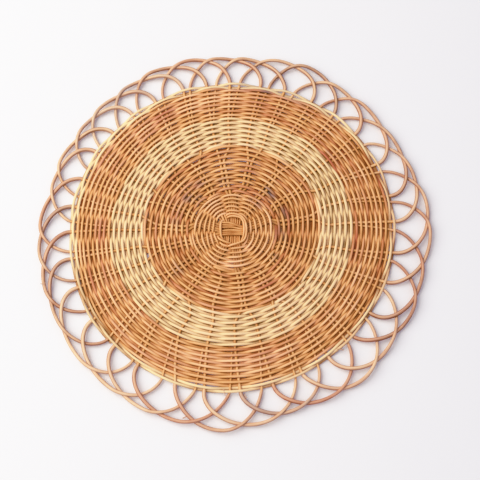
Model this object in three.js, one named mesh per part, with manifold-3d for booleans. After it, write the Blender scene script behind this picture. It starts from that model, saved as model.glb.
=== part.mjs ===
// A round rattan placemat: two crossed bundles of base rods, woven rounds about them in natural
// and bleached cane, and an open border in which every stake ends in a loop.
// Millimetres, +Z up. The origin is on the table, under the crossing of the base rods.

import * as THREE from 'three';
import { mergeVertices } from 'three/addons/utils/BufferGeometryUtils.js';
import Module from 'manifold-3d';

const wasm = await Module();
wasm.setup();

// Heights above the table.
const stakeLevel = 3.7; // the stakes' centre line, in the middle of the weaving
const crestTop = 7.2; // where a weaver passes over a stake
const valleyTop = 4.2; // where it passes under, and the stake shows
const jointTop = 5.6; // between two stakes, and along a band's edges

const gap = 0.3; // between any two pieces
const rodDiameter = 2.3;
const rodSides = 6;
const loopSteps = 16;
const hubSteps = 4; // corners from one column to the next about the crossed bundles
const crossingLift = 1.45; // a loop's rise or dip where it crosses another
const loopStride = 3; // a loop lands beside the third stake after its own
const hubRadius = 40; // where the rods of the centre are opened out into pairs

// The border begins where the last weaver ends.
const rimWidth = 5.2;

// The bundles of base rods: each lies side by side, one bundle over the other.
const cross = { x: -2, y: 1.3, halfWidth: 10.3, halfHeight: 11.9 };
const underBundle = { rods: 8, pitch: 2.2, middle: -2, bottom: 0, top: 3.5, ridge: 0.6 };
const overBundle = { rods: 6, pitch: 2.25, middle: 2.2, bottom: 3.8, top: 6, ridge: 0.6 };
const bundleReach = 16;

// Colours of the cane.
const naturalCane = { color: 0xd79a63, roughness: 0.55, metalness: 0 };
const bleachedCane = { color: 0xe8cb98, roughness: 0.55, metalness: 0 };
const rimCane = { color: 0xeedfb4, roughness: 0.55, metalness: 0 };
const loopCane = { color: 0xba8055, roughness: 0.5, metalness: 0 };

// Distance of each band's outer edge from the origin, every thirty degrees from +X.
const edges = [
  { pairs: 82.5, bleached: 114.5, woven: 156.0 },
  { pairs: 87.5, bleached: 117.3, woven: 158.5 },
  { pairs: 88.0, bleached: 118.5, woven: 159.3 },
  { pairs: 90.0, bleached: 119.5, woven: 158.0 },
  { pairs: 87.5, bleached: 119.3, woven: 159.6 },
  { pairs: 87.5, bleached: 118.0, woven: 159.8 },
  { pairs: 86.5, bleached: 118.7, woven: 159.0 },
  { pairs: 85.5, bleached: 119.0, woven: 160.4 },
  { pairs: 82.5, bleached: 117.0, woven: 159.3 },
  { pairs: 82.0, bleached: 114.8, woven: 156.8 },
  { pairs: 80.5, bleached: 112.3, woven: 152.9 },
  { pairs: 81.0, bleached: 112.2, woven: 152.7 },
];

// One row for each stake, in degrees from +X.
// stake: where it stands in the bleached band. land and foot: where another stake's loop comes
// down beside it at the woven edge, and where its own loop leaves.
// apex, reach: the direction and distance of its loop's outermost point.
// up, down: how round the loop's rising and falling arms are, less being fuller.
const stakes = [
  { stake: 4.6, land: 0.4, foot: 3.8, apex: 19, reach: 185.4, up: 0.5, down: 0.72 },
  { stake: 16.4, land: 11.2, foot: 13.6, apex: 31, reach: 184.6, up: 0.42, down: 0.78 },
  { stake: 28, land: 23.2, foot: 26.6, apex: 46, reach: 186, up: 0.48, down: 0.82 },
  { stake: 38.9, land: 35.1, foot: 40.6, apex: 56, reach: 185.5, up: 0.52, down: 0.78 },
  { stake: 51.1, land: 48.2, foot: 51.4, apex: 67, reach: 191, up: 0.68, down: 0.77 },
  { stake: 61.7, land: 56.8, foot: 60.8, apex: 75, reach: 189, up: 0.46, down: 0.75 },
  { stake: 72.7, land: 67.8, foot: 71.4, apex: 87, reach: 185.5, up: 0.66, down: 0.82 },
  { stake: 82, land: 77.2, foot: 80.4, apex: 95.8, reach: 186.4, up: 0.46, down: 0.88 },
  { stake: 93, land: 88, foot: 91.6, apex: 104.6, reach: 189.3, up: 0.58, down: 0.7 },
  { stake: 101.4, land: 96.6, foot: 100.2, apex: 116.2, reach: 189.7, up: 0.5, down: 0.82 },
  { stake: 111.4, land: 106.4, foot: 108.8, apex: 125, reach: 187.9, up: 0.4, down: 0.95 },
  { stake: 122, land: 116.6, foot: 119.8, apex: 135.4, reach: 187.5, up: 0.47, down: 0.8 },
  { stake: 132, land: 126.8, foot: 129.4, apex: 143.8, reach: 186.3, up: 0.42, down: 0.8 },
  { stake: 140.8, land: 136.2, foot: 139.2, apex: 156.2, reach: 186.4, up: 0.52, down: 0.82 },
  { stake: 151.1, land: 146.2, foot: 148.6, apex: 163.4, reach: 184.2, up: 0.44, down: 0.82 },
  { stake: 159.9, land: 155.4, foot: 159.8, apex: 177.8, reach: 187.5, up: 0.66, down: 0.74 },
  { stake: 169.9, land: 166.4, foot: 170.6, apex: 186.2, reach: 188, up: 0.62, down: 0.7 },
  { stake: 179, land: 176.2, foot: 180.1, apex: 198, reach: 188.4, up: 0.62, down: 0.76 },
  { stake: 189.6, land: 187.4, foot: 190, apex: 208.2, reach: 188.3, up: 0.43, down: 0.6 },
  { stake: 199.9, land: 198, foot: 200.8, apex: 221.4, reach: 190.8, up: 0.46, down: 0.56 },
  { stake: 210.5, land: 209.6, foot: 213.6, apex: 233, reach: 190.9, up: 0.54, down: 0.56 },
  { stake: 220.5, land: 222.1, foot: 225.4, apex: 244.6, reach: 191.7, up: 0.58, down: 0.78 },
  { stake: 231.1, land: 233.5, foot: 235.8, apex: 253.8, reach: 190.9, up: 0.54, down: 0.85 },
  { stake: 243, land: 245.2, foot: 250, apex: 266.6, reach: 192.9, up: 0.72, down: 0.82 },
  { stake: 257.4, land: 257, foot: 260, apex: 276.2, reach: 187.7, up: 0.53, down: 0.74 },
  { stake: 270.5, land: 268.6, foot: 272.2, apex: 286.6, reach: 182.4, up: 0.62, down: 0.68 },
  { stake: 282.7, land: 279.5, foot: 283.6, apex: 299.8, reach: 184.4, up: 0.58, down: 0.78 },
  { stake: 294.9, land: 291.7, foot: 294.4, apex: 309.8, reach: 187.9, up: 0.74, down: 0.78 },
  { stake: 305.8, land: 300.6, foot: 305.4, apex: 319.8, reach: 184.5, up: 0.5, down: 0.74 },
  { stake: 317.4, land: 314, foot: 317, apex: 334.6, reach: 186.2, up: 0.68, down: 0.76 },
  { stake: 328.6, land: 325, foot: 327.6, apex: 345, reach: 184.8, up: 0.44, down: 0.74 },
  { stake: 339.9, land: 337.6, foot: 340.6, apex: 359.8, reach: 189, up: 0.62, down: 0.68 },
  { stake: 350.5, land: 348.8, foot: 352, apex: 368.6, reach: 189.3, up: 0.52, down: 0.76 },
];

const group = new THREE.Group();
const radians = THREE.MathUtils.degToRad;
const mean = (numbers) => numbers.reduce((sum, value) => sum + value, 0) / numbers.length;

// Distance of a band's edge in a given direction, as a smooth closed curve through the table.
function edgeRadius(name, degrees) {
  const place = ((degrees % 360) + 360) % 360 / 30;
  const first = Math.floor(place);
  const t = place - first;
  const [a, b, c, d] = [-1, 0, 1, 2].map((k) => edges[(first + k + 12) % 12][name]);
  return b + 0.5 * t * (c - a + t * (2 * a - 5 * b + 4 * c - d + t * (3 * (b - c) + d - a)));
}

// The opening of the weaving about the crossed bundles: a rounded square.
function crossRadius(degrees) {
  const x = Math.cos(radians(degrees));
  const y = Math.sin(radians(degrees));
  const square = ((x / cross.halfWidth) ** 4 + (y / cross.halfHeight) ** 4) ** -0.25;
  return square + cross.x * x + cross.y * y;
}

function polar(radius, degrees, height) {
  const angle = radians(degrees);
  return new THREE.Vector3(radius * Math.cos(angle), radius * Math.sin(angle), height);
}

function addPiece(name, geometry, look) {
  const mesh = new THREE.Mesh(geometry, new THREE.MeshStandardMaterial(look));
  mesh.name = name;
  group.add(mesh);
}

// The directions of neighbouring stakes, gathered into columns that a weaver passes as one.
// The odd stake or column is left by itself, so that a single weaver always meets an odd number
// and goes over on one round what it went under on the last.
function gather(columns, single) {
  const gathered = [];
  for (let k = 0; k < columns.length; k += 1) {
    const members = k === single ? [columns[k]] : [columns[k], columns[k + 1]];
    k += members.length - 1;
    gathered.push({ inner: mean(members.map((m) => m.inner)), outer: mean(members.map((m) => m.outer)) });
  }
  return gathered;
}

// Directions all round a band: on each column, and evenly between it and the next.
function placesAlong(columns, steps) {
  return columns.flatMap((from, k) => {
    const to = columns[(k + 1) % columns.length];
    const turn = k + 1 === columns.length ? 360 : 0;
    return Array.from({ length: steps }, (_, step) => ({
      inner: THREE.MathUtils.lerp(from.inner, to.inner + turn, step / steps),
      outer: THREE.MathUtils.lerp(from.outer, to.outer + turn, step / steps),
    }));
  });
}

// A band of plain weaving: flat below, and above a checkerboard of crests and valleys that winds
// outwards as its one weaver does. inner and outer give its edges in any direction.
function weaveBand(name, { rounds, columns, steps, inner, outer, look }) {
  const places = placesAlong(columns, steps);
  const around = places.length;
  const points = [];
  const faces = [];
  const put = (point) => points.push(point) - 1;
  const triangle = (a, b, c) => faces.push(a, b, c);
  const quad = (a, b, c, d) => faces.push(a, b, c, a, c, d);

  const pointAt = (place, across, height) => {
    const degrees = THREE.MathUtils.lerp(places[place].inner, places[place].outer, across);
    const from = inner(degrees) + gap / 2;
    const to = outer(degrees) - gap / 2;
    return polar(THREE.MathUtils.lerp(from, to, across), degrees, height);
  };

  const spiral = [];
  for (let i = 0; i <= rounds * around; i += 1) {
    const across = (i / around + 0.5) / (rounds + 1);
    const swing = Math.cos((Math.PI * i) / steps); // up over one column, down under the next
    const rise = swing > 0 ? crestTop - jointTop : jointTop - valleyTop;
    spiral.push(put(pointAt(i % around, across, jointTop + swing * rise)));
  }
  const rings = { innerTop: [], outerTop: [], innerFoot: [], outerFoot: [] };
  for (let place = 0; place < around; place += 1) {
    rings.innerTop.push(put(pointAt(place, 0, jointTop)));
    rings.outerTop.push(put(pointAt(place, 1, jointTop)));
    rings.innerFoot.push(put(pointAt(place, 0, 0)));
    rings.outerFoot.push(put(pointAt(place, 1, 0)));
  }

  // The points met on the way out in one direction.
  const chain = (place) => [
    rings.innerTop[place],
    ...spiral.filter((point, i) => i % around === place),
    rings.outerTop[place],
  ];
  for (let place = 0; place < around; place += 1) {
    const next = (place + 1) % around;
    const left = chain(place);
    const right = chain(next);
    const shift = next === 0 ? 1 : 0; // a full turn on, the weaver is one round further out
    for (let i = 0; i <= rounds; i += 1) {
      quad(left[i], left[i + 1], right[i + 1 + shift], right[i + shift]);
    }
    if (next === 0) {
      triangle(left[0], right[1], right[0]);
    }
    if (place === 0) {
      triangle(left[rounds + 1], left[rounds + 2], right[rounds + 1]);
    }
    quad(rings.outerTop[place], rings.outerFoot[place], rings.outerFoot[next], rings.outerTop[next]);
    quad(rings.innerTop[next], rings.innerFoot[next], rings.innerFoot[place], rings.innerTop[place]);
    quad(rings.innerFoot[place], rings.innerFoot[next], rings.outerFoot[next], rings.outerFoot[place]);
  }

  const geometry = new THREE.BufferGeometry().setFromPoints(points);
  geometry.setIndex(faces);
  addPiece(name, geometry, look);
}

function toSolid(geometry) {
  const bare = geometry.clone();
  bare.deleteAttribute('normal');
  bare.deleteAttribute('uv');
  const merged = mergeVertices(bare, 1e-4);
  return new wasm.Manifold(
    new wasm.Mesh({
      numProp: 3,
      vertProperties: new Float32Array(merged.attributes.position.array),
      triVerts: new Uint32Array(merged.index.array),
    }),
  );
}

function fromSolid(solid) {
  const { vertProperties, triVerts } = solid.getMesh();
  const geometry = new THREE.BufferGeometry();
  geometry.setAttribute('position', new THREE.BufferAttribute(new Float32Array(vertProperties), 3));
  geometry.setIndex(new THREE.BufferAttribute(new Uint32Array(triVerts), 1));
  return geometry;
}

// Rods side by side: a flat underside and a ridge along each rod, cut to the weaving's opening.
function bundle(name, { rods, pitch, middle, bottom, top, ridge }, alongX) {
  const half = (rods * pitch) / 2;
  const section = new THREE.Shape();
  section.moveTo(-half, bottom);
  section.lineTo(half, bottom);
  section.lineTo(half, top - ridge);
  for (let k = rods - 1; k >= 0; k -= 1) {
    const left = -half + k * pitch;
    section.lineTo(left + pitch * 0.7, top);
    section.lineTo(left + pitch * 0.3, top);
    section.lineTo(left, top - ridge);
  }
  const length = new THREE.ExtrudeGeometry(section, { depth: 2 * bundleReach, bevelEnabled: false });
  length.translate(0, 0, -bundleReach);
  length.rotateX(Math.PI / 2);
  if (alongX) {
    length.rotateZ(Math.PI / 2);
    length.translate(0, middle, 0);
  } else {
    length.translate(middle, 0, 0);
  }

  const opening = new THREE.Shape();
  placesAlong(groups, hubSteps).forEach(({ inner: degrees }, k) => {
    const { x, y } = polar(crossRadius(degrees) - gap / 2, degrees, 0);
    opening[k === 0 ? 'moveTo' : 'lineTo'](x, y);
  });
  const plug = new THREE.ExtrudeGeometry(opening, { depth: crestTop, bevelEnabled: false });
  addPiece(name, fromSolid(toSolid(length).intersect(toSolid(plug))), naturalCane);
}

const wrap = (k) => stakes[((k % stakes.length) + stakes.length) % stakes.length];
const turns = (k) => 360 * Math.floor(k / stakes.length);

// A loop's plan, as the distance from the origin in a direction between its foot and its landing.
function loopPlan(k) {
  const { foot, apex, reach, up, down } = wrap(k);
  const start = foot + turns(k);
  const top = apex + turns(k);
  const end = wrap(k + loopStride).land + turns(k + loopStride);
  const radius = (degrees) => {
    const along = (degrees - start) / (end - start);
    const edge = THREE.MathUtils.lerp(edgeRadius('woven', start), edgeRadius('woven', end), along);
    const rising = degrees < top;
    const v = rising ? (top - degrees) / (top - start) : (degrees - top) / (end - top);
    const base = edge + 2 * gap;
    return base + (reach - base) * Math.max(0, 1 - v * v) ** (rising ? up : down);
  };
  return { start, end, radius };
}

// The direction in which loop k crosses the later loop j.
function crossing(k, j) {
  const first = loopPlan(k);
  const second = loopPlan(j);
  let low = second.start;
  let high = first.end;
  for (let i = 0; i < 30; i += 1) {
    const middle = (low + high) / 2;
    if (first.radius(middle) > second.radius(middle)) {
      low = middle;
    } else {
      high = middle;
    }
  }
  return low;
}

// Each loop goes over, under, over and under the four that it crosses.
function addLoop(k) {
  const plan = loopPlan(k);
  const lifts = [
    { at: plan.start, lift: 0 },
    { at: crossing(k - 2, k), lift: crossingLift },
    { at: crossing(k - 1, k), lift: -crossingLift },
    { at: crossing(k, k + 1), lift: crossingLift },
    { at: crossing(k, k + 2), lift: -crossingLift },
    { at: plan.end, lift: 0 },
  ];
  const height = (degrees) => {
    const next = Math.max(1, lifts.findIndex(({ at }) => degrees <= at));
    const [from, to] = [lifts[next - 1], lifts[next]];
    const t = THREE.MathUtils.smoothstep(degrees, from.at, to.at);
    return stakeLevel + THREE.MathUtils.lerp(from.lift, to.lift, t);
  };
  const route = [];
  const stops = 24;
  for (let i = 0; i <= stops; i += 1) {
    const eased = (1 - Math.cos((Math.PI * i) / stops)) / 2; // closer together where it is steep
    const degrees = THREE.MathUtils.lerp(plan.start, plan.end, eased);
    route.push(polar(plan.radius(degrees), degrees, height(degrees)));
  }
  const section = new THREE.Shape();
  for (let side = 0; side < rodSides; side += 1) {
    const angle = (2 * Math.PI * side) / rodSides;
    const [x, y] = [Math.cos(angle), Math.sin(angle)].map((value) => (value * rodDiameter) / 2);
    section[side === 0 ? 'moveTo' : 'lineTo'](x, y);
  }
  const extrudePath = new THREE.CatmullRomCurve3(route);
  const geometry = new THREE.ExtrudeGeometry(section, { steps: loopSteps, extrudePath });
  addPiece(`loop_${String(k + 1).padStart(2, '0')}`, geometry, loopCane);
}

// In the outer bands the stakes lean round to where their loops leave the woven edge.
const standing = stakes.map(({ stake }) => ({ inner: stake, outer: stake }));
const leaning = stakes.map(({ stake, land, foot }) => ({ inner: stake, outer: (land + foot) / 2 }));
const atRim = leaning.map(({ outer }) => ({ inner: outer, outer }));
const pairs = gather(standing, 24);
const groups = gather(pairs, 2);
const edgeOf = (name) => (degrees) => edgeRadius(name, degrees);
const rimInner = (degrees) => edgeRadius('woven', degrees) - rimWidth;

bundle('base_rods_under', underBundle, false);
bundle('base_rods_over', overBundle, true);
weaveBand('weave_hub', {
  rounds: 13,
  columns: groups,
  steps: hubSteps,
  inner: crossRadius,
  outer: () => hubRadius,
  look: naturalCane,
});
weaveBand('weave_pairs', {
  rounds: 18,
  columns: pairs,
  steps: 2,
  inner: () => hubRadius,
  outer: edgeOf('pairs'),
  look: naturalCane,
});
weaveBand('weave_bleached', {
  rounds: 12,
  columns: standing,
  steps: 2,
  inner: edgeOf('pairs'),
  outer: edgeOf('bleached'),
  look: bleachedCane,
});
weaveBand('weave_outer', {
  rounds: 15,
  columns: leaning,
  steps: 2,
  inner: edgeOf('bleached'),
  outer: rimInner,
  look: naturalCane,
});
weaveBand('weave_rim', {
  rounds: 2,
  columns: atRim,
  steps: 2,
  inner: rimInner,
  outer: edgeOf('woven'),
  look: rimCane,
});

for (let k = 0; k < stakes.length; k += 1) {
  addLoop(k);
}

export default group;
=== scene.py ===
import math

import bpy
import numpy as np
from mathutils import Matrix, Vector


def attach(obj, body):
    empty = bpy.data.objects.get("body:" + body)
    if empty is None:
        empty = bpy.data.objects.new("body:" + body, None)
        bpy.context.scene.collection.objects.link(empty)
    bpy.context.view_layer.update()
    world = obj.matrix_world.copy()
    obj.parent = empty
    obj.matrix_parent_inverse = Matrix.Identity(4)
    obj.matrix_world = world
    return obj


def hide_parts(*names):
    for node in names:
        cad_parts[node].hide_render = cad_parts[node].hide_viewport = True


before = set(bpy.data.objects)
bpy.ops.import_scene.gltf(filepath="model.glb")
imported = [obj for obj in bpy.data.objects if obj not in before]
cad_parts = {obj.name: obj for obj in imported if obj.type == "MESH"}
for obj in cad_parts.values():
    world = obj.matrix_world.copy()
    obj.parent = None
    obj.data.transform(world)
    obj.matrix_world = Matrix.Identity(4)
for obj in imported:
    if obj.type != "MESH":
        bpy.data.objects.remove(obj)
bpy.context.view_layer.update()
bpy.ops.object.select_all(action="DESELECT")

mm = 0.001  # the mat is worked out in millimetres and built in metres
up = np.array((0.0, 0.0, 1.0))

# What every cane of the mat shares.
cane = {
    "level": 2.75,       # height of the stakes' centre line above the table
    "stakeWidth": 2.5,   # in the weaving
    "loopWidth": 3.5,    # in the loops
    "squeezed": 0.62,    # height of a stake in the weaving, as a share of its width
    "sides": 10,
    "smoothAngle": 60,
    "grainGap": 5000,    # mm from one cane's marks to the next one's, so that none are the same
}

# Outer edge of each band from the centre, every 30 degrees round from +X.
bandEdges = {
    "pairs": [82.5, 87.5, 88, 90, 87.5, 87.5, 86.5, 85.5, 82.5, 82, 80.5, 81],
    "bleached": [114.5, 117.3, 118.5, 119.5, 119.3, 118, 118.7, 119, 117, 114.8, 112.3, 112.2],
    "woven": [156, 158.5, 159.3, 158, 159.6, 159.8, 159, 160.4, 159.3, 156.8, 152.9, 152.7],
}

# One row a stake, in degrees round from +X and mm from the centre.
# stake: where it stands in the bleached band; land: where another stake's loop comes down beside it;
# foot: where its own loop leaves; apex, reach: its loop's outermost point; up, down: the roundness
# of the loop's two arms; tone: how light the cane is; red, grey: how far it is stained.
stakeColumns = ("stake", "land", "foot", "apex", "reach", "up", "down", "tone", "red", "grey")
stakeRows = [
    (4.6, 0.4, 3.8, 19, 185.4, 0.50, 0.72, 0.1, 0.1, 0.0),
    (16.4, 11.2, 13.6, 31, 184.6, 0.42, 0.78, 0.0, 0.1, 0.1),
    (28, 23.2, 26.6, 46, 186, 0.48, 0.82, 0.0, 0.2, 0.0),
    (38.9, 35.1, 40.6, 56, 185.5, 0.52, 0.78, 0.1, 0.1, 0.0),
    (51.1, 48.2, 51.4, 67, 191, 0.68, 0.77, -0.3, 0.1, 0.1),
    (61.7, 56.8, 60.8, 75, 189, 0.46, 0.75, 0.0, 0.1, 0.0),
    (72.7, 67.8, 71.4, 87, 185.5, 0.66, 0.82, 0.1, 0.0, 0.0),
    (82, 77.2, 80.4, 95.8, 186.4, 0.46, 0.88, 0.0, 0.2, 0.0),
    (93, 88, 91.6, 104.6, 189.3, 0.58, 0.70, 0.0, 0.2, 0.0),
    (101.4, 96.6, 100.2, 116.2, 189.7, 0.50, 0.82, 0.0, 0.1, 0.1),
    (111.4, 106.4, 108.8, 125, 187.9, 0.40, 0.95, 0.6, 0.0, 0.3),
    (122, 116.6, 119.8, 135.4, 187.5, 0.47, 0.80, 0.6, 0.0, 0.2),
    (132, 126.8, 129.4, 143.8, 186.3, 0.42, 0.80, 0.5, 0.1, 0.3),
    (140.8, 136.2, 139.2, 156.2, 186.4, 0.52, 0.82, 0.0, 0.1, 0.0),
    (151.1, 146.2, 148.6, 163.4, 184.2, 0.44, 0.82, 0.1, 0.1, 0.0),
    (159.9, 155.4, 159.8, 177.8, 187.5, 0.66, 0.74, 0.0, 0.2, 0.0),
    (169.9, 166.4, 170.6, 186.2, 188, 0.62, 0.70, -0.3, 0.1, 0.2),
    (179, 176.2, 180.1, 198, 188.4, 0.62, 0.76, -0.3, 0.2, 0.1),
    (189.6, 187.4, 190, 208.2, 188.3, 0.43, 0.60, -0.3, 0.1, 0.1),
    (199.9, 198, 200.8, 221.4, 190.8, 0.46, 0.56, 0.3, 0.0, 0.0),
    (210.5, 209.6, 213.6, 233, 190.9, 0.54, 0.56, 0.3, 0.0, 0.0),
    (220.5, 222.1, 225.4, 244.6, 191.7, 0.58, 0.78, 0.3, 0.0, 0.0),
    (231.1, 233.5, 235.8, 253.8, 190.9, 0.54, 0.85, 0.0, 0.35, 0.0),
    (243, 245.2, 250, 266.6, 192.9, 0.72, 0.82, 0.3, 0.25, 0.1),
    (257.4, 257, 260, 276.2, 187.7, 0.53, 0.74, 0.3, 0.1, 0.0),
    (270.5, 268.6, 272.2, 286.6, 182.4, 0.62, 0.68, 0.4, 0.1, 0.3),
    (282.7, 279.5, 283.6, 299.8, 184.4, 0.58, 0.78, 0.1, 0.45, 0.0),
    (294.9, 291.7, 294.4, 309.8, 187.9, 0.74, 0.78, 0.3, 0.1, 0.0),
    (305.8, 300.6, 305.4, 319.8, 184.5, 0.50, 0.74, 0.3, 0.1, 0.0),
    (317.4, 314, 317, 334.6, 186.2, 0.68, 0.76, -0.3, 0.3, 0.1),
    (328.6, 325, 327.6, 345, 184.8, 0.44, 0.74, -0.1, 0.3, 0.1),
    (339.9, 337.6, 340.6, 359.8, 189, 0.62, 0.68, 0.0, 0.2, 0.0),
    (350.5, 348.8, 352, 368.6, 189.3, 0.52, 0.76, 0.0, 0.2, 0.0),
]
stakes = [dict(zip(stakeColumns, row)) for row in stakeRows]
count = len(stakes)

# The stakes stand in pairs, and near the centre in groups. Each stake says which it is in.
pairAngles = [11, 34, 56, 78, 99.2, 118.5, 137.4, 156.4, 175.8, 193.8, 214, 233.8, 254.9, 277,
              299.4, 322, 344.4]
hubAngles = [21, 58, 93, 125, 165, 200, 238, 277, 332]
lonePair = 12   # the one column of a single stake
loneGroup = 1   # the one group of a single pair
pairOf = [k // 2 if k < 2 * lonePair else (k + 1) // 2 for k in range(count)]
groupOf = [p // 2 if p < 2 * loneGroup else (p + 1) // 2 for p in pairOf]


def curveThrough(a, b, c, d, t):
    # a point from b to c on a rounded line through all four
    return b + 0.5 * t * (c - a + t * (2 * a - 5 * b + 4 * c - d + t * (3 * (b - c) + d - a)))


def soft(t):
    return t * t * (3 - 2 * t)


def ease(low, high, value):
    return soft(np.clip((value - low) / (high - low), 0, 1))


def edgeAt(name, degrees):
    # how far a band's outer edge is from the centre
    place = np.asarray(degrees, float) % 360 / 30
    first = np.floor(place).astype(int)
    around = [np.take(bandEdges[name], (first + k) % 12) for k in (-1, 0, 1, 2)]
    return curveThrough(*around, place - first)


def polar(radius, degrees):
    angle = np.radians(degrees)
    return np.stack([radius * np.cos(angle), radius * np.sin(angle)], -1)


# The hole in the weaving about the crossed rods, a rounded square.
crossHole = {"x": -2, "y": 1.3, "halfWidth": 10.3, "halfHeight": 11.9, "squareness": 4}


def holeAt(degrees):
    # how far its edge is from the centre
    x, y = np.cos(np.radians(degrees)), np.sin(np.radians(degrees))
    power = crossHole["squareness"]
    total = (x / crossHole["halfWidth"]) ** power + (y / crossHole["halfHeight"]) ** power
    return total ** (-1 / power) + crossHole["x"] * x + crossHole["y"] * y


def smoothLine(points, step):
    # a rounded line through given points, with a stop about every step mm
    points = np.asarray(points, float)
    padded = np.vstack([2 * points[0] - points[1], points, 2 * points[-1] - points[-2]])
    made = []
    for a, b, c, d in zip(padded, padded[1:], padded[2:], padded[3:]):
        stops = max(1, round(np.linalg.norm(c - b) / step))
        for t in np.arange(stops) / stops:
            made.append(curveThrough(a, b, c, d, t))
    return np.array(made + [points[-1]])


def wander(seed, spacing, length):
    # random heights between -1 and 1 along a line, eased from one to the next
    heights = np.random.default_rng(seed).uniform(-1, 1, int(length / spacing) + 3)

    def read(along):
        place = np.clip(np.asarray(along, float) / spacing, 0, len(heights) - 1.001)
        first = np.floor(place).astype(int)
        t = soft(place - first)
        return heights[first] * (1 - t) + heights[first + 1] * t

    return read


def strayed(plan, number, along):
    # a random change along a cane: plan is its first seed, the mm between changes and the most
    seed, spacing, most = plan
    return most * wander(seed + number, spacing, along[-1])(along)


def lengthsAlong(line):
    # how far each point is from the first, along the line
    return np.concatenate([[0], np.cumsum(np.linalg.norm(np.diff(line, axis=0), axis=1))])


# How the rows stray from true circles, all together, so that neighbours stay apart.
rowDrift = {"cellDegrees": 24, "cellMm": 9, "cellsOut": 20, "most": 0.7, "seed": 11}
driftShape = (rowDrift["cellsOut"], round(360 / rowDrift["cellDegrees"]))
driftCells = np.random.default_rng(rowDrift["seed"]).uniform(-1, 1, driftShape)


def driftAt(radius, degrees):
    x = np.asarray(degrees, float) % 360 / rowDrift["cellDegrees"]
    y = np.asarray(radius, float) / rowDrift["cellMm"]
    x0, y0 = np.floor(x).astype(int), np.floor(y).astype(int)
    tx, ty = soft(x - x0), soft(y - y0)
    across = driftCells.shape[1]
    low = driftCells[y0, x0 % across] * (1 - tx) + driftCells[y0, (x0 + 1) % across] * tx
    high = driftCells[y0 + 1, x0 % across] * (1 - tx) + driftCells[y0 + 1, (x0 + 1) % across] * tx
    return rowDrift["most"] * (low * (1 - ty) + high * ty)


# Where the canes are lighter, darker or stained. Degrees and mm from the centre, half the patch's
# length and depth in mm, and how much lighter, redder and greyer the canes are there.
patches = [
    # stains
    (20, 52, 8, 5, 0, 0.1, 0.6), (45, 52, 5, 4, 0, 0, 0.6), (53, 53, 4, 3, 0, 0, 0.7),
    (55, 37, 8, 4, 0, 0.3, 0.4), (102, 53.5, 6, 3, 0, 0, 0.7), (125, 60, 6, 4, 0, 0.3, 0.5),
    (143, 57.5, 5, 5, 0, 0, 0.7), (136, 48.5, 5, 3, 0, 0, 0.6), (166, 57, 7, 5, 0, 0.3, 0.4),
    (4, 47, 6, 5, 0, 0.3, 0.5), (215, 67, 7, 6, 0, 0.3, 0.3), (325, 47, 5, 4, 0, 0.1, 0.5),
    (354, 45, 7, 5, 0, 0.2, 0.4), (37, 121, 16, 4, 0, 0.6, 0), (41, 124, 4, 2, 0, 0, 0.6),
    (351, 118, 16, 3, 0, 0.6, 0), (340, 146, 20, 4, -0.2, 0.4, 0), (78, 66, 8, 4, 0, 0.5, 0.1),
    (180, 130, 14, 6, 0, 0.4, 0), (240, 136, 16, 5, 0, 0.4, 0), (200, 143, 14, 4, 0, 0.4, 0),
    (120, 140, 14, 5, 0, 0.35, 0), (300, 60, 8, 5, 0, 0.35, 0), (75, 132, 14, 5, 0, 0.3, 0),
    (12, 138, 12, 5, 0, 0.35, 0),
    # the hub's weaver
    (30, 22, 10, 9, -0.5, 0, 0), (65, 22, 5, 6, -0.4, 0, 0), (170, 22, 7, 6, -0.3, 0, 0),
    (10, 20, 6, 5, 0.5, 0, 0), (128, 20, 5, 5, 0.6, 0, 0), (310, 20, 7, 6, 0.9, 0, 0),
    (8, 33, 10, 7, 0.7, 0, 0), (130, 33, 9, 7, 0.6, 0, 0), (270, 33, 10, 7, 1.7, 0, 0),
    # the weaver over the pairs
    (10, 60, 26, 14, -0.65, 0, 0), (55, 60, 26, 12, -0.35, 0, 0), (215, 60, 24, 12, -0.6, 0, 0),
    (345, 50, 20, 10, -0.35, 0, 0), (30, 46, 12, 6, -0.4, 0, 0), (250, 47, 30, 6, -0.4, 0, 0),
    (265, 62, 10, 6, -0.4, 0, 0), (300, 72, 20, 8, 0.4, 0, 0), (250, 76, 10, 6, 0.5, 0, 0),
    (305, 77, 12, 6, 0.4, 0, 0),
    # the bleached weaver
    (40, 98, 40, 12, -0.75, 0, 0), (5, 100, 30, 14, -0.4, 0, 0), (200, 100, 24, 12, -0.3, 0, 0),
    (255, 105, 20, 8, 0.4, 0, 0), (300, 106, 20, 7, 0.6, 0, 0),
    # the outer weaver
    (265, 128, 40, 8, 1.2, 0, 0), (185, 128, 70, 7, 0.5, 0, 0), (330, 127, 40, 5, 0.3, 0, 0),
    (290, 127, 22, 5, 0.9, 0, 0), (130, 136, 16, 6, 0.9, 0, 0), (160, 136, 12, 5, -0.35, 0, 0),
    (190, 137, 40, 5, -0.5, 0, 0), (230, 137, 22, 5, -0.5, 0, 0), (280, 137, 24, 5, 0.7, 0, 0),
    (105, 142, 50, 9, 0.8, 0, 0), (145, 148, 50, 6, 0.8, 0, 0), (230, 146, 34, 6, 0.7, 0, 0),
    (250, 147, 14, 5, 0.5, 0, 0), (28, 147, 26, 6, -1.0, 0, 0), (325, 146, 30, 5, -0.5, 0, 0),
    (352, 146, 44, 6, -0.55, 0, 0),
    # the rim
    (5, 156, 60, 5, -1.0, 0.9, 0), (30, 156, 24, 5, -0.8, 0, 0), (75, 156, 60, 5, 0.3, 0, 1.0),
    (110, 156, 20, 4, -0.4, 0, 0), (138, 156, 40, 5, 0.5, 0, 0), (210, 156, 60, 5, -1.6, 0, 0),
    (290, 156, 50, 5, 0.2, 0.7, 0), (325, 156, 70, 5, -1.5, 1.6, 0),
]
patchEdge = {"full": 0.4, "gone": 1.6}   # as shares of a patch's half length and depth


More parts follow.
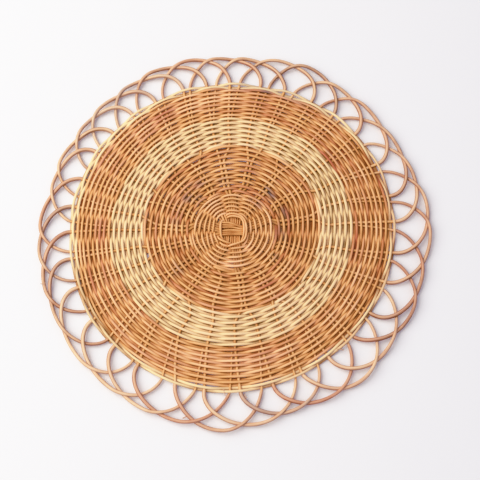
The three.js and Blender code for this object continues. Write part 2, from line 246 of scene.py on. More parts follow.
def patchAt(flat):
    # how much lighter, redder and greyer a cane is at each point
    change = np.zeros((3, len(flat)))
    radius = np.hypot(flat[:, 0], flat[:, 1])
    degrees = np.degrees(np.arctan2(flat[:, 1], flat[:, 0]))
    for at, distance, halfLength, halfDepth, *amounts in patches:
        aside = np.radians((degrees - at + 180) % 360 - 180) * distance
        away = np.hypot(aside / halfLength, (radius - distance) / halfDepth)
        change += np.array(amounts)[:, None] * ease(patchEdge["gone"], patchEdge["full"], away)
    return change


class Wire:
    # a socket in a material, so that sums can be written as they read
    def __init__(self, look, socket):
        self.look = look
        self.socket = socket

    def __add__(self, other):
        return self.look.math("ADD", self, other)

    __radd__ = __add__

    def __sub__(self, other):
        return self.look.math("SUBTRACT", self, other)

    def __rsub__(self, other):
        return self.look.math("SUBTRACT", other, self)

    def __mul__(self, other):
        return self.look.math("MULTIPLY", self, other)

    __rmul__ = __mul__


class Look:
    # a material and the nodes in it
    def __init__(self, name):
        self.material = bpy.data.materials.new(name)
        self.material.use_nodes = True
        self.tree = self.material.node_tree
        self.tree.nodes.clear()

    def node(self, kind, settings=None, sockets=None, out=0):
        made = self.tree.nodes.new("ShaderNode" + kind)
        for key, value in (settings or {}).items():
            setattr(made, key, value)
        for key, value in (sockets or {}).items():
            if isinstance(value, Wire):
                self.tree.links.new(value.socket, made.inputs[key])
            else:
                made.inputs[key].default_value = value
        return Wire(self, made.outputs[out]) if made.outputs else None

    def math(self, operation, *values):
        return self.node("Math", {"operation": operation}, dict(enumerate(values)))

    def clamp(self, value, low=0.0, high=1.0):
        return self.node("Clamp", {}, {"Value": value, "Min": low, "Max": high})

    def mix(self, factor, first, second):
        # the sockets for colours are 6 and 7 in, and 2 out
        return self.node("Mix", {"data_type": "RGBA"}, {0: factor, 6: first, 7: second}, 2)

    def stretch(self, vector, amounts):
        return self.node("VectorMath", {"operation": "MULTIPLY"}, {0: vector, 1: amounts})

    def noise(self, vector, detail=2.0, roughness=0.5):
        return self.node("TexNoise", {}, {"Vector": vector, "Scale": 1.0, "Detail": detail,
                                          "Roughness": roughness})


# How all cane is marked. Of fibres, streaks and blotches, how many a mm: across, across and along.
marks = {
    "fibre": (5.5, 5.5, 0.1),
    "streak": (0.9, 0.9, 0.035),
    "blotch": (0.25, 0.25, 0.11),
    "fibreDetail": 4.0, "fibreRoughness": 0.65,
    "fibreShade": 1.1, "streakShade": 1.1, "blotchShade": 0.7, "toneShade": 0.5,
    "paintedShadeFrom": 0.55, "paintedSideShade": 0.7,   # painted shade: a cane is darker from this many mm beside its top, towards its sides where it meets its neighbours
    "fibreGloss": 0.3, "roughest": 0.9, "smoothest": 0.2,
    "fibreBump": 0.5, "fibreHeight": 0.1,
    "specular": 0.35,
    "wovenBody": (0.72, 0.375, 0.12, 1), "wovenLight": (0.93, 0.63, 0.34, 1),   # stakes, in the weaving
    "redStain": (0.47, 0.135, 0.06, 1), "redShade": 0.9,
    "greyStain": (0.16, 0.12, 0.13, 1), "greyShade": 0.4,
}


def caneLook(name, body, dark, light, rough):
    # cane read along its own length: grain holds each point's place on the straightened cane, in mm
    look = Look(name)
    grain = look.node("Attribute", {"attribute_name": "grain"}, {}, 1)
    dye = look.node("Attribute", {"attribute_name": "dye"}, {}, 0)
    tone = look.node("Attribute", {"attribute_name": "tone"}, {}, 2)
    red = look.node("SeparateColor", {}, {"Color": dye}, 0)
    grey = look.node("SeparateColor", {}, {"Color": dye}, 1)
    woven = look.node("SeparateColor", {}, {"Color": dye}, 2)
    fibre = look.noise(look.stretch(grain, marks["fibre"]), marks["fibreDetail"], marks["fibreRoughness"])
    streak = look.noise(look.stretch(grain, marks["streak"]))
    blotch = look.noise(look.stretch(grain, marks["blotch"]))
    lightness = tone * marks["toneShade"] + (fibre - 0.5) * marks["fibreShade"]
    lightness = lightness + (streak - 0.5) * marks["streakShade"] + (blotch - 0.5) * marks["blotchShade"]
    # painted shade along each cane's sides, growing away from its top
    beside = look.math("ABSOLUTE", look.node("SeparateXYZ", {}, {"Vector": grain}, 1))
    lightness = lightness - look.clamp(beside - marks["paintedShadeFrom"]) * marks["paintedSideShade"]
    middling = look.mix(woven, body, marks["wovenBody"])
    pale = look.mix(woven, light, marks["wovenLight"])
    colour = look.mix(look.clamp(lightness), middling, pale)
    colour = look.mix(look.clamp(0 - lightness), colour, dark)
    colour = look.mix(look.clamp(red * marks["redShade"]), colour, marks["redStain"])
    colour = look.mix(look.clamp(grey * (marks["greyShade"] + streak)), colour, marks["greyStain"])
    bump = look.node("Bump", {}, {
        "Strength": marks["fibreBump"], "Distance": marks["fibreHeight"] * mm, "Height": fibre,
    })
    roughness = rough + (fibre - 0.5) * marks["fibreGloss"]
    shader = look.node("BsdfPrincipled", {}, {
        "Base Color": colour,
        "Roughness": look.clamp(roughness, marks["smoothest"], marks["roughest"]),
        "Normal": bump,
        "Specular IOR Level": marks["specular"],
    })
    look.node("OutputMaterial", {}, {"Surface": shader})
    return look.material


print("finishes")
naturalLook = caneLook(
    "naturalCane",
    body=(0.76, 0.40, 0.142, 1), dark=(0.35, 0.11, 0.02, 1), light=(0.98, 0.585, 0.315, 1), rough=0.5)
bleachedLook = caneLook(
    "bleachedCane",
    body=(0.905, 0.635, 0.322, 1), dark=(0.38, 0.22, 0.055, 1), light=(0.99, 0.695, 0.42, 1), rough=0.55)
rimLook = caneLook(
    "rimCane",
    body=(0.91, 0.67, 0.36, 1), dark=(0.45, 0.23, 0.075, 1), light=(1.0, 0.75, 0.42, 1), rough=0.5)
loopLook = caneLook(
    "loopCane",
    body=(0.81, 0.52, 0.295, 1), dark=(0.28, 0.11, 0.035, 1), light=(0.96, 0.74, 0.51, 1), rough=0.45)


def addCanes(name, strands, look):
    # one mesh of closed round canes; each strand has its line, its width and its dye along the way
    sides = cane["sides"]
    points, grains, tones, dyes, quads, fans = [], [], [], [], [], []
    turn = 2 * np.pi * np.arange(sides) / sides
    beside = (np.arange(sides) + 1) % sides
    start = 0
    for number, strand in enumerate(strands):
        line = strand["line"]
        n = len(line)
        width = np.broadcast_to(strand["width"], n)
        tall = width * strand.get("tall", 1.0)
        along = np.gradient(line, axis=0)
        along /= np.linalg.norm(along, axis=1)[:, None]
        side = np.cross(along, up)
        side /= np.linalg.norm(side, axis=1)[:, None]
        top = np.cross(side, along)
        rise = np.cos(turn)[None, :, None] * (top * tall[:, None] / 2)[:, None, :]
        across = np.sin(turn)[None, :, None] * (side * width[:, None] / 2)[:, None, :]
        rings = line[:, None, :] + rise + across
        length = lengthsAlong(line) + cane["grainGap"] * number
        around = np.stack([np.cos(turn), np.sin(turn)], -1)[None] * (width / 2)[:, None, None]
        grain = np.concatenate([around, np.broadcast_to(length[:, None, None], (n, sides, 1))], 2)
        points += [rings.reshape(-1, 3), line[[0, -1]]]
        grains += [grain.reshape(-1, 3), np.array([(0, 0, length[0]), (0, 0, length[-1])])]
        tone = np.broadcast_to(strand.get("tone", 0.0), n)
        tones += [np.repeat(tone, sides), tone[[0, -1]]]
        dye = np.zeros((n, 4))
        dye[:, 0] = strand.get("red", 0.0)
        dye[:, 1] = strand.get("grey", 0.0)
        dye[:, 2] = strand.get("woven", 0.0)
        dye[:, 3] = 1
        dyes += [np.repeat(dye, sides, 0), dye[[0, -1]]]
        first = start + np.arange(n - 1)[:, None] * sides
        near, far = first + np.arange(sides), first + beside
        quads.append(np.stack([near, far, far + sides, near + sides], -1).reshape(-1, 4))
        last = start + (n - 1) * sides
        ends = start + n * sides
        fans.append(np.stack([np.full(sides, ends), start + beside, start + np.arange(sides)], -1))
        fans.append(np.stack([np.full(sides, ends + 1), last + np.arange(sides), last + beside], -1))
        start = ends + 2
    mesh = bpy.data.meshes.new(name)
    mesh.from_pydata(np.vstack(points) * mm, [], np.vstack(quads).tolist() + np.vstack(fans).tolist())
    for attribute, kind, field, values in [
        ("grain", "FLOAT_VECTOR", "vector", np.vstack(grains)),
        ("tone", "FLOAT", "value", np.concatenate(tones)),
        ("dye", "FLOAT_COLOR", "color", np.vstack(dyes)),
    ]:
        mesh.attributes.new(attribute, kind, "POINT").data.foreach_set(field, values.ravel())
    mesh.materials.append(look)
    piece = bpy.data.objects.new(name, mesh)
    bpy.context.scene.collection.objects.link(piece)
    bpy.context.view_layer.objects.active = piece
    piece.select_set(True)
    bpy.ops.object.shade_smooth_by_angle(angle=math.radians(cane["smoothAngle"]))
    piece.select_set(False)
    return piece


# The stakes' way out from the crossed rods, and round their loops.
run = {
    "lanePitch": 2.3,      # between the rods of a group, near the centre
    "pairGap": 2.1,        # each rod of a pair from the column's line
    "hubStops": (13, 20, 28, 37),   # where the route has a point, in mm from the centre
    "pairStops": (47, 62, 76),
    "singleStops": (91, 103, 114),
    "leanStops": (0.33, 0.67, 1.0),   # and past the last of them, as shares of the way to the edge
    "landedTo": 119,       # how far in a landed loop end is pushed
    "landedBeside": 3.1,   # from the stake that it lies beside
    "landedStops": (0.0, 0.33, 0.67, 1.0),
    "stride": 3,           # a loop lands beside the third stake after its own
    "lift": 1.17,          # rise or dip where two loops cross
    "curl": 1.3, "curlOver": 24,   # how much higher a loop lies, that many mm past the edge
    "step": 2.6,
    "loopStops": 64,
    "halvings": 30,        # in the search for a crossing
    "roundFrom": -4, "roundTo": 3,   # mm past the weaving's edge over which a stake becomes round
    "taper": 0.12,         # how much thicker a stake is up to its loop's foot, and thinner at its end
    "taperEnd": 40,        # mm before its end, from where it gets no thinner
    "paintedShadeAt": (15, 38, 45, 80, 90, 115, 122),   # how light a woven stake is, this far out: painted shade in the hub, where the stakes lie in the dark gaps between rows, and painted light in the outer band, where they show as bright dots
    "paintedShades": (-1.0, -0.8, 0.1, 0.2, 0, 0, 0.6),
}
# How they stray: the first seed, the mm between changes and the most.
stakeStray = {
    "height": (100, 18, 0.12),
    "width": (200, 30, 0.05),
    "tone": (300, 22, 0.3),
    "red": (400, 26, 0.15),
    "grey": (500, 20, 0.8),
    "shade": (700, 50, 0.6),
}
greyBase = 0.6   # a grey stain's strength, before it strays


def stakeRoute(k):
    # points on the way out through the weaving, as (distance, degrees)
    row = stakes[k]
    mates = [j for j in range(count) if groupOf[j] == groupOf[k]]
    lane = (mates.index(k) - (len(mates) - 1) / 2) * run["lanePitch"]
    hub = hubAngles[groupOf[k]]
    pair = pairAngles[pairOf[k]]
    twins = [j for j in range(count) if pairOf[j] == pairOf[k]]
    beside = (twins.index(k) - (len(twins) - 1) / 2) * 2 * run["pairGap"]
    route = [(r, hub + math.degrees(lane / r)) for r in run["hubStops"]]
    route += [(r, pair + math.degrees(beside / r)) for r in run["pairStops"]]
    route += [(r, row["stake"]) for r in run["singleStops"]]
    edge = float(edgeAt("woven", row["foot"]))
    leanFrom = run["singleStops"][-1]
    for share in run["leanStops"]:
        reach = leanFrom + (edge - leanFrom) * share
        route.append((reach, row["stake"] + (row["foot"] - row["stake"]) * share))
    return [tuple(polar(r, a)) for r, a in route]


stakeLines = [smoothLine(stakeRoute(k), run["step"]) for k in range(count)]


def loopPlan(k):
    # a loop's distance from the centre in any direction between its foot and its landing
    row, far = stakes[k % count], stakes[(k + run["stride"]) % count]
    turn = 360 * (k // count)
    start, top = row["foot"] + turn, row["apex"] + turn
    end = far["land"] + 360 * ((k + run["stride"]) // count)

    def radius(degrees):
        degrees = np.asarray(degrees, float)
        share = (degrees - start) / (end - start)
        base = edgeAt("woven", start) * (1 - share) + edgeAt("woven", end) * share
        rising = degrees < top
        v = np.where(rising, (top - degrees) / (top - start), (degrees - top) / (end - top))
        power = np.where(rising, row["up"], row["down"])
        return base + (row["reach"] - base) * np.maximum(0, 1 - v * v) ** power

    return start, end, radius


def crossing(k, j):
    # the direction in which loop k crosses the later loop j
    low, high = loopPlan(j)[0], loopPlan(k)[1]
    first, second = loopPlan(k)[2], loopPlan(j)[2]
    for half in range(run["halvings"]):
        middle = (low + high) / 2
        if first(middle) > second(middle):
            low = middle
        else:
            high = middle
    return low


def loopLine(k):
    start, end, radius = loopPlan(k)
    lift = run["lift"]
    stops = [(start, 0), (crossing(k - 2, k), lift), (crossing(k - 1, k), -lift),
             (crossing(k, k + 1), lift), (crossing(k, k + 2), -lift), (end, 0)]
    share = (1 - np.cos(np.linspace(0, np.pi, run["loopStops"]))) / 2
    degrees = start + (end - start) * share
    flat = polar(radius(degrees), degrees)
    at = np.array([s[0] for s in stops])
    lifts = np.array([s[1] for s in stops])
    index = np.clip(np.searchsorted(at, degrees, side="right") - 1, 0, len(at) - 2)
    t = ease(at[index], at[index + 1], degrees)
    height = lifts[index] * (1 - t) + lifts[index + 1] * t
    curl = run["curl"] * ease(0, run["curlOver"], radius(degrees) - edgeAt("woven", degrees))
    return np.column_stack([flat, cane["level"] + height + curl])


def landedLine(k):
    # the end of loop k, pushed into the weaving beside the stake that it lands at
    far = stakes[(k + run["stride"]) % count]
    turn = 360 * ((k + run["stride"]) // count)
    edge = float(edgeAt("woven", far["land"]))
    route = []
    for share in run["landedStops"]:
        r = edge + (run["landedTo"] - edge) * share
        inner = far["stake"] - math.degrees(run["landedBeside"] / r)
        route.append(tuple(polar(r, turn + far["land"] + (inner - far["land"]) * share)))
    return smoothLine(route, run["step"])


def joinLines(*lines):
    # end to end, without the doubled points, evenly spaced
    line = np.vstack([lines[0]] + [part[1:] for part in lines[1:]])
    length = lengthsAlong(line)
    even = np.linspace(0, length[-1], round(length[-1] / run["step"]) + 1)
    return np.column_stack([np.interp(even, length, line[:, axis]) for axis in range(3)]), even


def level(flat):
    return np.column_stack([flat, np.full(len(flat), cane["level"])])


print("stakes and loops")
landedLines = [landedLine(k) for k in range(count)]
for k, row in enumerate(stakes):
    line, along = joinLines(level(stakeLines[k]), loopLine(k), level(landedLines[k]))
    line[:, 2] += strayed(stakeStray["height"], k, along)
    foot, end = (len(stakeLines[k]) - 1) * run["step"], along[-1] - run["taperEnd"]
    taper = run["taper"] * (1 - 2 * ease(foot, end, along))
    # woven in, a stake is squeezed, and takes painted shade near the centre and painted light further out,
    # with its own random tone
    radius = np.hypot(line[:, 0], line[:, 1])
    out = ease(run["roundFrom"], run["roundTo"], radius - edgeAt("woven", row["foot"]))
    width = cane["stakeWidth"] + (cane["loopWidth"] - cane["stakeWidth"]) * out
    shade = np.interp(radius, run["paintedShadeAt"], run["paintedShades"]) + strayed(stakeStray["shade"], k, along)
    grey = row["grey"] * (greyBase + strayed(stakeStray["grey"], k, along))
    strand = {
        "line": line,
        "width": width * (1 + strayed(stakeStray["width"], k, along) + taper),
        "tall": cane["squeezed"] + (1 - cane["squeezed"]) * out,
        "tone": row["tone"] * out + shade * (1 - out) + strayed(stakeStray["tone"], k, along),
        "woven": 1 - out,
        "red": out * np.clip(row["red"] + strayed(stakeStray["red"], k, along), 0, 1),
        "grey": out * np.clip(grey, 0, 1),
    }
    piece = addCanes(f"cane_{k + 1:02d}", [strand], loopLook)
    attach(piece, "root")
    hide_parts(f"loop_{k + 1:02d}")


# Where the columns that a weaver passes stand, for each of these distances from the centre.
radii = np.arange(8.0, 165.0)
bleachedMiddle = 103   # where a stake stands in the direction that its row gives
nearEdge = 155         # and about where a landed end does


def anglesOf(flat, known, distance):
    # the directions of a line at the radii, counted so that it is near the known one at a distance
    radius = np.hypot(flat[:, 0], flat[:, 1])
    degrees = np.degrees(np.unwrap(np.arctan2(flat[:, 1], flat[:, 0])))
    order = np.argsort(radius)
    angles = np.interp(radii, radius[order], degrees[order])
    return angles + 360 * round((known - angles[int(distance - radii[0])]) / 360)


stakeAngles = np.array([anglesOf(stakeLines[k], stakes[k]["stake"], bleachedMiddle) for k in range(count)])
landedAngles = np.array([anglesOf(landedLines[(k - run["stride"]) % count], stakes[k]["land"], nearEdge)
                         for k in range(count)])


def gathered(members):
    # the mean directions of the stakes in each group or pair
    return np.array([stakeAngles[[j for j in range(count) if members[j] == m]].mean(0)
                     for m in range(max(members) + 1)])


groupColumns = gathered(groupOf)
pairColumns = gathered(pairOf)
singleColumns = stakeAngles
outerColumns = (stakeAngles + landedAngles) / 2


def columnAngle(columns, place, radius):
    # the direction of a place counted in columns, such as 2.5 for midway from the third to the fourth
    n = len(columns)
    whole = np.floor(place).astype(int)
    t = place - whole
    row = np.clip(radius - radii[0], 0, len(radii) - 1.001)
    r0 = np.floor(row).astype(int)
    rt = row - r0

    def at(index):
        found = columns[index % n, r0] * (1 - rt) + columns[index % n, r0 + 1] * rt
        return found + 360 * (index // n)

    return at(whole) * (1 - t) + at(whole + 1) * t


def weaverStrand(sizes, columns, radiusAt):
    # one long cane wound outwards, over one column and under the next, with both ends tucked under
    n = len(columns)
    first, last = sizes["first"], sizes["first"] + round(sizes["rounds"] * n)
    last += (last - first) % 2
    places = np.linspace(first, last, (last - first) * sizes["steps"] + 1)
    turns = (places - first) / n
    radius = np.full(len(places), weave["guess"])
    for again in range(weave["guesses"]):
        degrees = columnAngle(columns, places, radius)
        radius = radiusAt(turns, degrees)
    swing = np.cos(np.pi * places)
    flat = sizes["flatness"]
    swing = np.tanh(flat * swing) / np.tanh(flat)
    radius = radius + driftAt(radius, degrees) + sizes.get("sway", 0) * swing
    seed = sizes["seed"]
    xy = polar(radius, degrees)
    along = lengthsAlong(xy)
    depth = np.where(swing > 0, weave["rise"], weave["dip"])
    height = cane["level"] + depth * swing * (1 + strayed(weave["heightStray"], seed, along))
    squeeze = np.where(swing > 0, weave["slim"], weave["squash"]) * swing
    xy = polar(radius + sizes["jitter"] * strayed(weave["sideStray"], seed, along), degrees)
    pieces = int(along[-1] / sizes["spliceEvery"]) + 1
    splices = np.random.default_rng(seed + weave["spliceSeed"]).uniform(-1, 1, pieces)
    splice = splices[(along / sizes["spliceEvery"]).astype(int)]
    lighter, redder, greyer = patchAt(xy)
    # painted highlight where the weaver rides over a stake, painted shade where it dips under one
    tone = sizes["tone"] + weave["paintedLightAndShade"] * swing + weave["spliceTone"] * splice + lighter
    red = sizes["red"] * strayed(weave["redStray"], seed, along) + redder * sizes["stain"]
    grey = greyer * sizes["stain"] * (greyBase + strayed(weave["greyStray"], seed, along))
    return {
        "line": np.column_stack([xy, height]),
        "width": sizes["width"] * (1 - squeeze + strayed(weave["widthStray"], seed, along)),
        "tall": sizes["tall"] * (1 + weave["deepen"] * squeeze),
        "tone": tone + strayed(weave["toneStray"], seed, along),
        "red": np.clip(red, 0, 1),
        "grey": np.clip(grey, 0, 1),
    }


print("weavers")
weave = {
    "rise": 1.65, "dip": 1.35,       # how far a weaver climbs over a stake, and dips under one
    "slim": 0.13, "squash": 0.42,    # how much narrower it is over a stake, and wider under one
    "deepen": 1.5,                   # how much taller it is where narrow, and flatter where wide
    "paintedLightAndShade": 0.72,                   # painted light and shade: how much lighter it is over a stake, and darker under one
    "spliceTone": 0.35, "spliceSeed": 2,   # each length of cane has its own shade
    # how a weaver strays: its seed after the weaver's own, the mm between changes and the most
    "heightStray": (0, 17, 0.06), "sideStray": (1, 23, 1), "widthStray": (3, 40, 0.06),
    "toneStray": (4, 30, 0.45), "redStray": (5, 60, 1), "greyStray": (6, 9, 0.6),
    "guess": 60.0, "guesses": 4,     # a first radius, and how often it is worked out again
}
# rounds: how often a weaver goes round; first: the column where it starts; steps: points from one
# column to the next; tall: height as a share of width; flatness: how long it stays over or under;
# red, stain: how red it is, and how much of the patches' stains it takes; jitter: how far it strays
# sideways; spliceEvery: mm to the next length of cane; tone: how light it is.
hub = {"rounds": 11, "first": 5, "steps": 11, "width": 2.45, "tall": 0.68, "flatness": 1.6,
       "red": 0.15, "stain": 1.0, "jitter": 0.18, "spliceEvery": 420, "tone": 0.1, "seed": 20}
pairs = {"rounds": 18, "first": 9, "steps": 8, "width": 2.9, "tall": 0.6, "flatness": 1.3,
         "red": 0.6, "stain": 1.0, "jitter": 0.22, "spliceEvery": 520, "tone": -0.05, "seed": 30}
bleached = {"rounds": 12, "first": 19, "steps": 6, "width": 3.1, "tall": 0.6, "flatness": 1.1,
            "red": 0.1, "stain": 0.3, "jitter": 0.22, "spliceEvery": 700, "tone": 0.2, "seed": 40}
outer = {"rounds": 15, "first": 19, "steps": 6, "width": 2.8, "tall": 0.62, "flatness": 1.2,
         "red": 0.6, "stain": 1.0, "jitter": 0.22, "spliceEvery": 800, "tone": 0.13, "seed": 50}
rim = {"rounds": 2.27, "first": 11, "steps": 6, "width": 2.85, "tall": 0.72, "flatness": 1.1,
       "red": 0.0, "stain": 0.3, "jitter": 0.25, "spliceEvery": 900, "tone": 0.2, "seed": 60,
       "pitch": 2.6, "sway": 0.65,   # from row to row, and in and out past the columns
       "settle": 0.12, "bleedTurns": 0.06}   # turns in which a row moves out, and the band inside gives way
hubRadius = 40.0
startDepth = 4.3      # the rows about the crossed rods, before the hub's weaver takes over


def between(inside, outside, rounds):
    # a spiral that is a row further out for each turn
    def radiusAt(turns, degrees):
        return inside(degrees) + (outside(degrees) - inside(degrees)) * turns / rounds

    return radiusAt


def hubStart(degrees):
    return holeAt(degrees) + startDepth


def hubEnd(degrees):
    return np.full(np.shape(degrees), hubRadius)


def pairsEnd(degrees):
    return edgeAt("pairs", degrees)


def bleachedEnd(degrees):
    return edgeAt("bleached", degrees)


def rimRadius(turns, degrees):
    # the last round lies along the woven edge, and each row moves out a place just past the rim's end
    left = rim["rounds"] - turns
    whole = np.floor(np.maximum(left, 0))
    rows = whole + ease(1 - rim["settle"], 1, left - whole)
    return edgeAt("woven", degrees) - rim["width"] / 2 - rim["pitch"] * rows


def outerEnd(degrees):
    # where the rim begins: it has a third row for part of the way
    passed = round(rim["rounds"] * count)
    start, end = stakes[rim["first"]]["foot"], stakes[(rim["first"] + passed) % count]["foot"]
    spare = 360 * rim["bleedTurns"]
    around = np.asarray(degrees) % 360
    third = ease(start - spare, start + spare, around) * (1 - ease(end - spare, end + spare, around))
    return edgeAt("woven", degrees) - rim["pitch"] * (2 + third)


bands = [
    ("hubWeaver", "weave_hub", "natural_cane", naturalLook, hub, groupColumns,
     between(hubStart, hubEnd, hub["rounds"])),
    ("pairWeaver", "weave_pairs", "natural_cane", naturalLook, pairs, pairColumns,
     between(hubEnd, pairsEnd, pairs["rounds"])),
    ("bleachedWeaver", "weave_bleached", "bleached_cane", bleachedLook, bleached, singleColumns,
     between(pairsEnd, bleachedEnd, bleached["rounds"])),
    ("outerWeaver", "weave_outer", "natural_cane", naturalLook, outer, outerColumns,
     between(bleachedEnd, outerEnd, outer["rounds"])),
    ("rimWeaver", "weave_rim", "rim_cane", rimLook, rim, outerColumns, rimRadius),
]
weavers = {}
for name, node, slot, look, sizes, columns, radiusAt in bands:
    piece = addCanes(name, [weaverStrand(sizes, columns, radiusAt)], look)
    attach(piece, "root")
    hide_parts(node)
    weavers[name] = piece

# The crossed rods at the centre and the first rows round them, as places on the way: x, y, z in mm.
underRods = {
    "width": 2.1, "tone": -0.25, "seed": 600,
    "routes": [  # eight rods, from the bottom to the top
        [(-9.6, -16, 3.2), (-9.6, -9, 2.4), (-9.2, 0, 2.3), (-8.6, 7, 2.6), (-10.2, 12, 4.0),
         (-12.0, 16, 4.2)],
        [(-7.6, -16, 3.2), (-7.5, -9, 2.4), (-7.1, 0, 2.3), (-6.4, 7, 2.6), (-7.6, 12, 4.2),
         (-9.4, 17, 4.2)],
        [(-6.0, -16, 3.2), (-5.7, -9, 2.4), (-5.2, 0, 2.3), (-4.9, 7, 2.4), (-5.6, 12, 2.8),
         (-6.6, 18, 3.2)],
        [(-3.5, -18, 3.4), (-3.2, -9, 2.6), (-3.0, 0, 2.3), (-2.9, 8, 2.4), (-2.9, 18, 3.2)],
        [(-1.4, -18, 3.4), (-1.2, -9, 2.6), (-1.0, 0, 2.3), (-0.8, 8, 2.4), (-0.9, 18, 3.2)],
        [(0.9, -18, 3.4), (0.9, -9, 2.5), (1.1, 0, 2.3), (1.3, 8, 2.4), (1.2, 18, 3.2)],
        [(3.1, -17, 3.2), (3.0, -9, 2.4), (3.1, 0, 2.3), (3.3, 8, 2.4), (3.6, 18, 3.2)],
        [(5.2, -16, 3.2), (5.0, -9, 2.4), (5.2, 0, 2.3), (5.4, 8, 2.4), (6.4, 17, 3.2)],
    ],
}
overRods = {
    "width": 2.1, "tone": -0.4, "seed": 620,
    "routes": [  # six rods, from left to right
        [(-13.4, 9.0, 3.6), (-10.8, 8.4, 5.0), (-5, 8.0, 5.8), (0, 6.4, 6.3), (7.2, 3.8, 5.2),
         (13, 3.4, 3.4)],
        [(-13.4, 6.3, 3.6), (-10.8, 6.1, 4.8), (-3, 5.9, 4.9), (7.2, 5.2, 4.2), (13, 5.6, 3.2)],
        [(-13.4, 3.8, 3.6), (-10.8, 3.7, 4.8), (-2, 3.7, 4.9), (7.2, 2.0, 4.8), (13, 1.6, 3.4)],
        [(-13.4, 0.3, 3.6), (-10.8, 0.3, 4.8), (-2, 0.9, 4.9), (7.2, 0.2, 4.8), (13, -0.4, 3.4)],
        [(-13.4, -1.9, 3.6), (-10.8, -1.8, 4.8), (-2, -1.3, 4.9), (7.2, -1.7, 4.8), (13, -2.4, 3.4)],
        [(-13.4, -4.0, 3.6), (-10.8, -3.8, 4.8), (-2, -3.4, 4.9), (7.2, -3.4, 4.8), (13, -4.4, 3.4)],
    ],
}
firstRows = {
    "width": 2.15, "tone": 0.6, "seed": 640,
    "routes": [
        [(-8, 12.6, 2.2), (-11.6, 10.6, 4.4), (-13.1, 6, 6.2), (-13.1, 0, 6.4), (-12.6, -4.6, 5.8),
         (-10.8, -8.4, 3.6), (-7, -10.8, 1.3), (-1, -11.6, 1.3)],
        [(-16.9, 8, 1.6), (-16.6, 0, 1.4), (-15.4, -6, 3.2), (-12.8, -9.2, 5.6), (-8.5, -11.4, 6.3),
         (-5, -12.4, 5.6), (-1, -13.0, 2.4), (4, -12.4, 1.2)],
        [(-5.4, -15.4, 5.2), (-1, -14.2, 6.2), (4, -12.7, 6.4), (8.6, -10.4, 6.2), (11.0, -6.4, 6.4),
         (11.8, 0, 6.4), (11.5, 6, 6.4), (9.8, 11.4, 6.0), (6, 15.4, 6.1), (0, 17.2, 6.3),
         (-5.6, 17.0, 5.4), (-10, 14.4, 2.4)],
        [(6.4, -11, 1.6), (8.6, -6.6, 5.4), (9.4, -2, 6.3), (9.5, 4, 6.4), (8.6, 9.2, 6.2), (6.2, 13, 6.1),
         (1, 14.6, 6.4), (-4.4, 14.7, 5.6), (-8.2, 13.4, 2.6)],
    ],
}
rodStray = {"spacing": 6, "width": 0.04, "tone": 0.3, "step": 1.4}
# low rows that close the corners about the crossed rods, at these distances out from the hole's edge
lining = {"aside": (-0.8, 1.2, 3.2), "height": 1.15, "width": 2.1, "tone": -0.7, "stepDegrees": 5}


def centreStrands(rods):
    strands = []
    for number, points in enumerate(rods["routes"]):
        line = smoothLine(points, rodStray["step"])
        along = np.arange(len(line)) * rodStray["step"]
        noise = strayed((rods["seed"], rodStray["spacing"], 1), number, along)
        strands.append({
            "line": line,
            "width": rods["width"] * (1 + rodStray["width"] * noise),
            "tone": rods["tone"] + rodStray["tone"] * noise,
        })
    return strands


def liningStrands():
    strands = []
    degrees = np.arange(0, 361, lining["stepDegrees"])
    for aside in lining["aside"]:
        flat = polar(holeAt(degrees) + aside, degrees)
        line = np.column_stack([flat, np.full(len(flat), lining["height"])])
        strands.append({"line": line, "width": lining["width"], "tone": lining["tone"]})
    return strands


print("crossed rods")
for name, node, rods in [
    ("rodsUnder", "base_rods_under", underRods),
    ("rodsOver", "base_rods_over", overRods),
]:
    piece = addCanes(name, centreStrands(rods), naturalLook)
    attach(piece, "root")
    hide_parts(node)
piece = addCanes("firstRows", centreStrands(firstRows) + liningStrands(), naturalLook)
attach(piece, "root")

# Frayed ends about the rim and the loops, as places on the way: degrees, mm from the centre, height.
looseEnds = {
    "width": 1.1,
    "thinning": 0.55,   # how much of its width an end loses on the way
    "tone": -0.4, "grey": 0.2,
    "step": 0.8,
    "ends": [
        [(196.3, 186.5, 5.2), (196.5, 189, 5.8), (196.2, 191.2, 6.2)],
        [(255.5, 187, 3.2), (256.2, 185, 2.6), (257, 183, 2.0)],
        [(274.2, 163, 4.6), (273.6, 160.5, 4.4), (273.8, 158, 3.8)],
        [(266.4, 154.5, 4.6), (266.8, 158, 4.6), (267.2, 161, 4.2)],
        [(311, 155.5, 4.8), (310.2, 153, 5.0), (309.4, 150.5, 4.2)],
    ],
}
print("frayed ends")
ends = []
for places in looseEnds["ends"]:
    points = [(*polar(distance, degrees), height) for degrees, distance, height in places]
    line = smoothLine(points, looseEnds["step"])
    thin = 1 - looseEnds["thinning"] * np.linspace(0, 1, len(line))
    ends.append({
        "line": line,
        "width": looseEnds["width"] * thin,
        "tone": looseEnds["tone"],
        "grey": looseEnds["grey"],
    })
piece = addCanes("looseEnds", ends, loopLook)
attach(piece, "root")


def ringArea(inside, outside):
    return math.pi * (outside ** 2 - inside ** 2) * mm * mm


# The area of each woven band, as a flat ring between its mean edges, is worked out and not used.
print("sheets")
meanEdge = {name: float(np.mean(values)) for name, values in bandEdges.items()}
for name, inside, outside in [
    ("hubWeaver", float(np.mean(hubStart(np.arange(360)))) - hub["width"] / 2, hubRadius),
    ("pairWeaver", hubRadius, meanEdge["pairs"]),
    ("bleachedWeaver", meanEdge["pairs"], meanEdge["bleached"]),
    ("outerWeaver", meanEdge["bleached"], meanEdge["woven"] - 2 * rim["pitch"]),
]:
    ringArea(inside, outside)
    [weavers["rimWeaver"]] if name == "outerWeaver" else []

print("floor, light and camera")
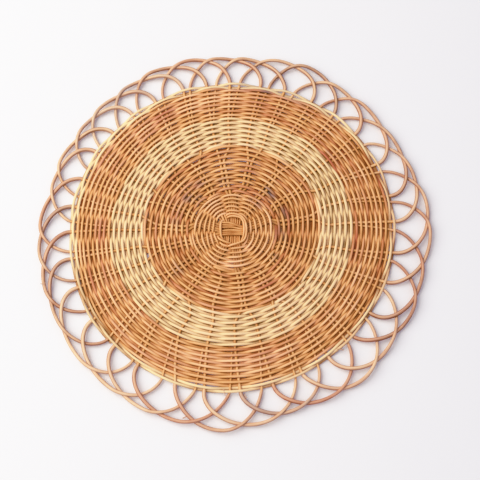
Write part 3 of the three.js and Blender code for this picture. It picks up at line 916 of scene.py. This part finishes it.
# The floor, the light and the camera, in metres.
pale = {"size": 6, "colour": (0.9, 0.888, 0.905, 1), "roughness": 0.8}
bpy.ops.mesh.primitive_plane_add(size=pale["size"], location=(0, 0, 0))
floor = bpy.context.object
floor.name = "floor"
floorLook = Look("paleFloor")
shader = floorLook.node("BsdfPrincipled", {}, {
    "Base Color": pale["colour"], "Roughness": pale["roughness"],
})
floorLook.node("OutputMaterial", {}, {"Surface": shader})
floor.data.materials.append(floorLook.material)

studio = {
    "key": (-1.0, 0.17, 1.1), "keySize": 1.7, "keyPower": 25.3, "keyColour": (1.0, 0.98, 0.9),
    "room": 0.665, "roomColour": (0.75, 0.742, 0.825, 1),
    "brightest": 1.3,
    # how the film turns light into tones, and blue light, which it weakens in the dark
    "tones": [(0, 0), (0.05, 0.033), (0.1, 0.076), (0.2, 0.172), (0.4, 0.40), (0.6, 0.62), (0.75, 0.765),
              (0.87, 0.865), (1.0, 0.935), (1.15, 0.975), (1.3, 1.0)],
    "blues": [(0, 0), (0.02, 0.015), (0.038, 0.03), (0.09, 0.095), (0.17, 0.2), (0.36, 0.38), (0.5, 0.5),
              (0.75, 0.75), (1.3, 1.3)],
}
curveOf = {"tones": 3, "blues": 2}   # the film's curve for all light together, and the one for blue
lamp = bpy.data.lights.new("key", "AREA")
lamp.size = studio["keySize"]
lamp.energy = studio["keyPower"]
lamp.color = studio["keyColour"]
key = bpy.data.objects.new("key", lamp)
key.location = studio["key"]
key.rotation_euler = (-Vector(studio["key"])).to_track_quat("-Z", "Y").to_euler()
bpy.context.scene.collection.objects.link(key)
world = bpy.data.worlds.new("room")
world.use_nodes = True
background = world.node_tree.nodes["Background"]
background.inputs["Color"].default_value = studio["roomColour"]
background.inputs["Strength"].default_value = studio["room"]
bpy.context.scene.world = world
film = bpy.context.scene.view_settings
film.view_transform = "Standard"
film.use_curve_mapping = True
film.curve_mapping.clip_max_x = studio["brightest"]
for name, channel in curveOf.items():
    curve = film.curve_mapping.curves[channel].points
    curve[0].location, curve[1].location = studio[name][0], studio[name][-1]
    for place in studio[name][1:-1]:
        curve.new(*place)
film.curve_mapping.update()

shot = {"tilt": 18.96, "distance": 1.134, "aim": (0.0056, -0.0075, 0.0), "angleOfView": 23.1}
tilt = math.radians(shot["tilt"])
lens = bpy.data.cameras.new("camera")
lens.angle = math.radians(shot["angleOfView"])
camera = bpy.data.objects.new("camera", lens)
camera.location = Vector(shot["aim"]) + shot["distance"] * Vector((0, -math.sin(tilt), math.cos(tilt)))
camera.rotation_euler = (tilt, 0, 0)
bpy.context.scene.collection.objects.link(camera)
bpy.context.scene.camera = camera
